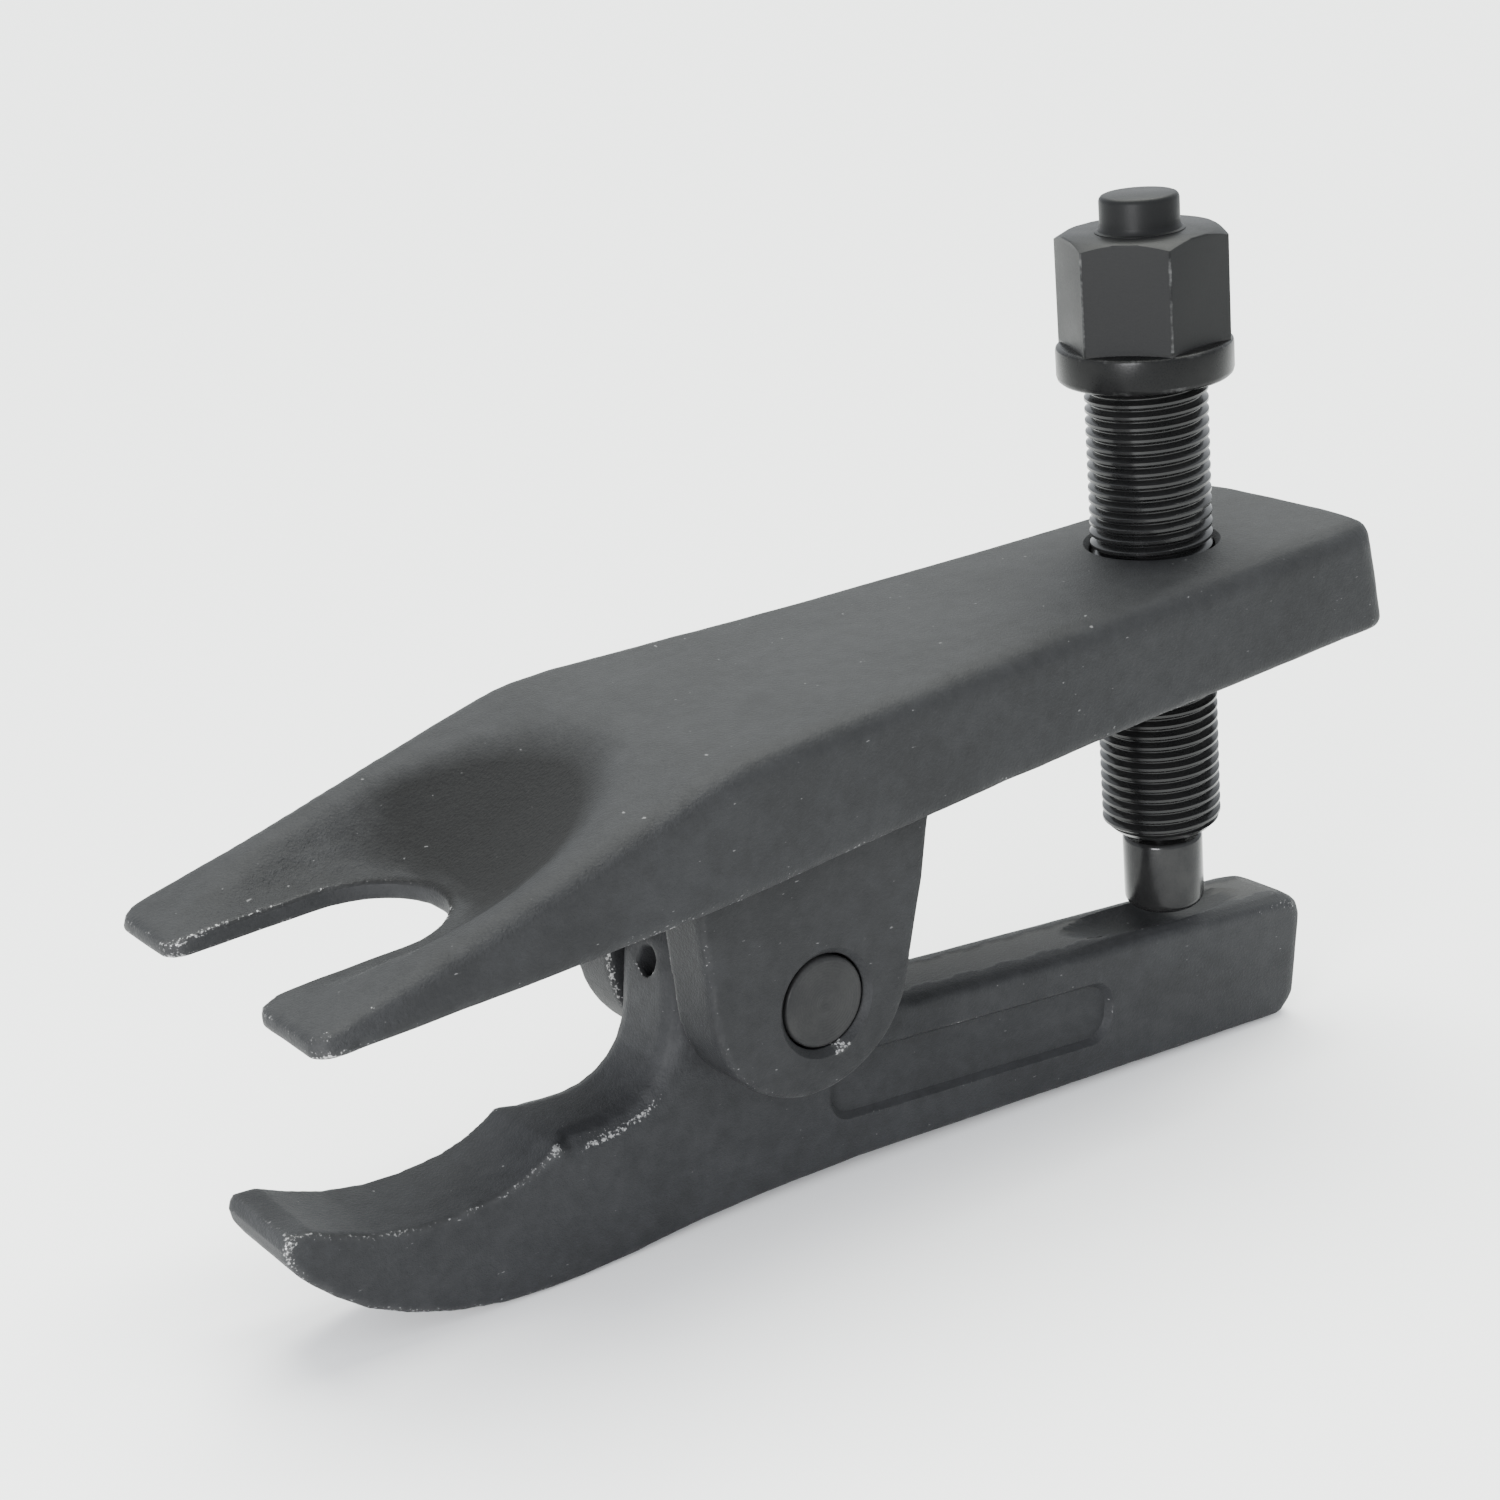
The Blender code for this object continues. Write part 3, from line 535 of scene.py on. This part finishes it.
bpy.ops.mesh.select_all(action="SELECT")
bpy.ops.mesh.extrude_region_move(TRANSFORM_OT_translate={"value": (0.0, 2.0 * MM, 0.0)})
bpy.ops.mesh.extrude_region_move(TRANSFORM_OT_translate={"value": (0.0, PANEL_DEPTH, 0.0)})
bpy.ops.transform.resize(value=narrow)
bpy.ops.object.mode_set(mode="OBJECT")
tidy_surface(die)
die.data.transform(Matrix.Translation((PANEL_X, -BAR_HALF_WIDTH - 2.0 * MM, PANEL_Z))
                   @ Matrix.Rotation(math.radians(-PANEL_TILT), 4, "Y"))
combine(lever, die, "DIFFERENCE")


def knuckle(points):
    return np.hypot(points[:, 0], points[:, 2]) < KNUCKLE_R


mark_ridges(lever, rounds=14, height=0.3 * MM, quiet=knuckle)
points, normals = points_and_normals(lever)
bar_top = BAR_TOP_AT_GROOVE - (points[:, 0] - GROOVE_X) * BAR_FALL
ragged = np.sin(points[:, 0] * 2600.0) * 0.12 + np.sin(points[:, 0] * 910.0 + 1.0) * 0.3
# Dressed top of the bar: a real ground flat with a ragged edge, stepped down below; the same mask also
# paints a highlight on the flat.
dressed_and_highlit_top = np.clip((DRESSED_HALF_WIDTH + ragged - np.abs(points[:, 1]) / MM) / 0.35, 0.0, 1.0)
dressed_and_highlit_top *= np.clip(1.0 - np.abs(points[:, 2] - bar_top) / (0.6 * MM), 0.0, 1.0) > 0.2
dressed_and_highlit_top *= (points[:, 0] > DRESSED_FROM_X) & (normals[:, 2] > 0.9)
add_values(lever, "dressed_and_highlit", dressed_and_highlit_top)
from_spot = np.hypot(points[:, 0] - CHAFE_X, points[:, 2] - CHAFE_Z) / CHAFE_REACH
sideways = np.abs(normals[:, 1])
on_edge = np.clip((sideways - 0.7) / 0.1, 0.0, 1.0) * np.clip((0.985 - sideways) / 0.03, 0.0, 1.0)
add_values(lever, "chafed", np.exp(-from_spot ** 4) * on_edge * (normals[:, 2] > 0.0))
points[:, 2] -= dressed_and_highlit_top * DRESSED_STEP
lever.data.vertices.foreach_set("co", points.ravel())
lever_skin = forged_skin("lever_phosphate", lever_place, 0.015)
settle(lever, lever_place, "lever", "lever_arm", lever_skin)

# ---- Pivot pin and its grub screw ------------------------------------------
# A turned steel pin, blackened, with a centre mark in each end. It is pushed
# through both ears and held by a small socket screw in the knuckle.
PIN_R = 5.75
PIN_END = 14.85
GRUB_ANGLE = 164.5
GRUB_R = 1.5 * MM
GRUB_NEAR = 6.6 * MM
GRUB_FAR = 12.4 * MM
GRUB_EDGE = 0.3 * MM
GRUB_POINT = 0.5 * MM
SOCKET_R = 0.85 * MM


def mm_profile(*pairs):
    """Profile for turned, from pairs in millimetres."""
    return [(radius * MM, height * MM) for radius, height in pairs]


def blackened_skin(name, place, level, rough, shine=0.6):
    """Blackened machined steel, dark and a little uneven in gloss, for a piece to finish."""
    skin = Finish(name, place)
    patches = skin.noise(0.18, 3.0, 0.6)
    grain = skin.noise(4.0, 3.0, 0.6)
    ridge = skin.value_of("ridge")
    tone = (patches * 0.7 + grain * 0.3).rise(0.3, 0.7)
    coat = skin.blend(tone, grey(level * 0.75, 0.0, 0.06), grey(level * 1.3))
    worn = (ridge * 0.9 + patches * 0.3 + grain * 0.35).rise(0.62, 0.95)
    coat = skin.blend(worn * 0.6, coat, STEEL_SHINE)
    dull = rough + (grain - 0.5) * 0.16 + (patches - 0.5) * 0.12
    skin.feed(Metallic=shine, Specular_IOR_Level=0.09)
    return skin, coat, dull, skin.bump(grain, 0.012)


profile = [(0.0, -14.55), (0.45, -14.62), (1.0, -14.83), (1.5, -PIN_END), (5.2, -PIN_END), (5.5, -14.75)]
profile += [(5.68, -14.55), (PIN_R, -14.3), (PIN_R, -13.0), (PIN_R, 0.0)]
profile += [(radius, -height) for radius, height in reversed(profile[:-1])]
pin_place = lever_place @ Matrix.Rotation(math.pi / 2.0, 4, "X")
pin = turned("turned_pivot_pin", mm_profile(*profile), 96)
skin, coat, dull, pits = blackened_skin("pin_black", pin_place, 0.017, 0.42, 0.03)
across, up, length = skin.along()
from_centre = (across * across + up * up) ** 0.5
rings = skin.node("ShaderNodeMath", {"operation": "SINE"}, {0: from_centre * 16.0})() * 0.5 + 0.5
pin_skin = skin.feed(Base_Color=coat, Roughness=dull, Normal=skin.bump(rings, 0.01, pits))
settle(pin, pin_place, "lever", "pivot_pin", pin_skin)

grub_place = lever_place @ Matrix.Rotation(math.radians(90.0 - GRUB_ANGLE), 4, "Y")
profile = [(0.0, GRUB_NEAR), (GRUB_R - GRUB_POINT, GRUB_NEAR), (GRUB_R, GRUB_NEAR + GRUB_POINT)]
profile += [(GRUB_R, GRUB_FAR - GRUB_EDGE), (GRUB_R - GRUB_EDGE, GRUB_FAR), (0.0, GRUB_FAR)]
grub = turned("pin_lock_screw", profile, 48)
bpy.ops.mesh.primitive_cylinder_add(
    vertices=6, radius=SOCKET_R, depth=4.4 * MM, location=(0.0, 0.0, GRUB_FAR))
combine(grub, bpy.context.object, "DIFFERENCE")
skin, coat, dull, pits = blackened_skin("grub_black", grub_place, 0.008, 0.4, 0.0)
grub_skin = skin.feed(Base_Color=coat, Roughness=dull, Normal=pits)
settle(grub, grub_place, "lever", "pin_grub_screw", grub_skin)

# ---- Forcing screw ---------------------------------------------------------
# M16 x 1.5 screw, blackened and oiled: a rolled thread, a round flange, a
# hexagon with a chamfered crown and a round stub above it, all one bar of steel.
PITCH = 1.5
CREST_R = 8.0
ROOT_R = 7.2
THREAD_LOW = -40.2
THREAD_HIGH = 21.2
SLEEVE_R = CREST_R + 0.15
NECK_R = 6.9
FLANGE_R = 11.4
FLANGE_LOW = 22.0
FLANGE_TOP = 26.8
HEX_ACROSS_FLATS = 19.5
HEX_LOW = 26.4
HEX_TOP = 40.9
HEX_TURN = 34.1
CROWN_SLOPE = 0.575
STUB_R = 5.1
STUB_TOP = 45.5
SEAT_R = 3.3
SEAT_DEEP = -34.2
screw_place = fork_place @ Matrix.Translation((BORE_X, 0.0, FORK_TOP))

tooth = [(ROOT_R, 0.0), (ROOT_R, 0.06), (CREST_R - 0.08, 0.50), (CREST_R, 0.58), (CREST_R, 0.92)]
tooth += [(CREST_R - 0.08, 1.0), (ROOT_R, 1.44), (ROOT_R, PITCH)]
data = bpy.data.meshes.new("blackened_forcing_screw")
low_turn = THREAD_LOW - 2.0 * PITCH
data.from_pydata([(radius * MM, 0.0, (low_turn + height) * MM) for radius, height in tooth],
                 [(index, index + 1) for index in range(len(tooth) - 1)], [])
screw = bpy.data.objects.new("blackened_forcing_screw", data)
bpy.context.scene.collection.objects.link(screw)
turns = int((THREAD_HIGH - THREAD_LOW) / PITCH) + 5
shape(screw, "SCREW", angle=math.tau, screw_offset=PITCH * MM, iterations=turns, steps=72, render_steps=72,
      axis="Z", use_smooth_shade=True)
tidy_surface(screw)
bpy.ops.object.mode_set(mode="EDIT")
for height, keep_above in ((THREAD_LOW - 0.5, True), (THREAD_HIGH + 0.5, False)):
    bpy.ops.mesh.select_all(action="SELECT")
    bpy.ops.mesh.bisect(plane_co=(0.0, 0.0, height * MM), plane_no=(0.0, 0.0, 1.0), use_fill=True,
                        clear_inner=keep_above, clear_outer=not keep_above, threshold=1e-7)
bpy.ops.object.mode_set(mode="OBJECT")
tidy_surface(screw)
sleeve = mm_profile((0.0, THREAD_LOW), (6.75, THREAD_LOW), (SLEEVE_R, THREAD_LOW + 1.4),
                    (SLEEVE_R, THREAD_HIGH - 0.9), (7.0, THREAD_HIGH), (0.0, THREAD_HIGH))
combine(screw, turned("thread_limits", sleeve, 144), "INTERSECT")
flange = mm_profile((0.0, 19.0), (NECK_R, 19.0), (NECK_R, 21.7), (7.2, FLANGE_LOW), (10.4, FLANGE_LOW),
                    (10.9, 22.12), (11.25, 22.45), (FLANGE_R, 22.95), (FLANGE_R, 26.1), (11.32, 26.45),
                    (11.1, 26.68), (10.7, FLANGE_TOP), (9.7, 27.0), (0.0, 27.0))
combine(screw, turned("flange", flange, 144), "UNION")
bpy.ops.mesh.primitive_cylinder_add(
    vertices=6, radius=HEX_ACROSS_FLATS / math.sqrt(3.0) * MM, depth=(HEX_TOP - HEX_LOW) * MM,
    location=(0.0, 0.0, (HEX_TOP + HEX_LOW) / 2.0 * MM), rotation=(0.0, 0.0, math.radians(HEX_TURN)))
hexagon = bpy.context.object
shape(hexagon, "BEVEL", width=0.22 * MM, segments=3, limit_method="ANGLE")
crown_r = HEX_ACROSS_FLATS / 2.0 - 0.1
crown = mm_profile((0.0, HEX_LOW - 2.0), (crown_r + 4.0, HEX_LOW - 2.0),
                   (crown_r + 4.0, HEX_TOP - 4.0 * CROWN_SLOPE), (crown_r, HEX_TOP),
                   (crown_r - 0.25, HEX_TOP + 0.06), (0.0, HEX_TOP + 0.06))
combine(hexagon, turned("crown", crown, 192), "INTERSECT")
combine(screw, hexagon, "UNION")
stub = mm_profile((0.0, 38.0), (5.75, 38.0), (5.75, 40.98), (5.35, 41.12), (5.16, 41.45), (STUB_R, 41.9),
                  (STUB_R, 44.8), (5.0, 45.15), (4.8, 45.38), (4.5, STUB_TOP), (0.0, STUB_TOP))
combine(screw, turned("stub", stub, 96), "UNION")
seat = mm_profile((0.0, -44.0), (SEAT_R, -44.0), (SEAT_R, SEAT_DEEP), (0.0, SEAT_DEEP))
combine(screw, turned("seat", seat, 64), "DIFFERENCE")
skin, coat, dull, pits = blackened_skin("screw_oiled_black", screw_place, 0.006, 0.3, 0.02)
across, over, up = skin.along()
from_centre = (across * across + over * over) ** 0.5
patchy = skin.noise(0.5, 3.0, 0.6)
thread_zone = up.rise(THREAD_HIGH + 0.1, THREAD_HIGH - 0.2)
crest = from_centre.rise(CREST_R - 0.12, CREST_R) * thread_zone
corner = from_centre.rise(11.0, 11.2) * up.rise(27.0, 27.4)
brim = from_centre.rise(10.6, 11.1) * from_centre.rise(11.42, 11.34) * up.rise(27.3, 26.9)
hex_head = up.rise(26.9, 27.2)
bare = ((crest * 0.25).most(corner * 0.5).most(brim * 0.4) + patchy * 0.8).rise(0.8, 1.2)
head_coat = skin.blend(hex_head * 0.6, coat, grey(0.008, 0.0, 0.08))
coat = skin.blend(bare * 0.3, head_coat, STEEL_SHINE)
rough = dull + hex_head * 0.14
oil = thread_zone * 0.4
screw_skin = skin.feed(Base_Color=coat, Roughness=rough, Normal=pits, Coat_Weight=oil, Coat_Roughness=0.14)
settle(screw, screw_place, "screw", "forcing_screw", screw_skin, 30.0)

# ---- Pressure tip ----------------------------------------------------------
# A hardened, ground plug on a spigot in the screw's end. It stays still in the
# groove while the screw turns on it.
TIP_R = 5.43
TIP_LOW = -52.05
TIP_HIGH = -41.7
TIP_ROUND = 1.5
nose = [(TIP_R - TIP_ROUND + TIP_ROUND * math.sin(angle), TIP_LOW + TIP_ROUND - TIP_ROUND * math.cos(angle))
        for angle in (math.radians(15.0 * step) for step in range(7))]
profile = mm_profile((0.0, TIP_LOW), *nose, (TIP_R, TIP_HIGH - 0.55), (TIP_R - 0.08, TIP_HIGH - 0.25),
                     (TIP_R - 0.35, TIP_HIGH), (3.0, TIP_HIGH), (3.0, -34.9), (2.6, -34.5), (0.0, -34.5))
tip = turned("ground_pressure_tip", profile, 128)
skin, coat, dull, pits = blackened_skin("tip_ground_black", screw_place, 0.022, 0.17, 0.6)
across, over, up = skin.along()
lines = skin.noise(1.0, 3.0, 0.6, (0.3, 0.3, 9.0))
tip_skin = skin.feed(Base_Color=coat, Roughness=dull, Normal=skin.bump(lines, 0.012, pits))
settle(tip, screw_place, "tip", "pressure_tip", tip_skin)
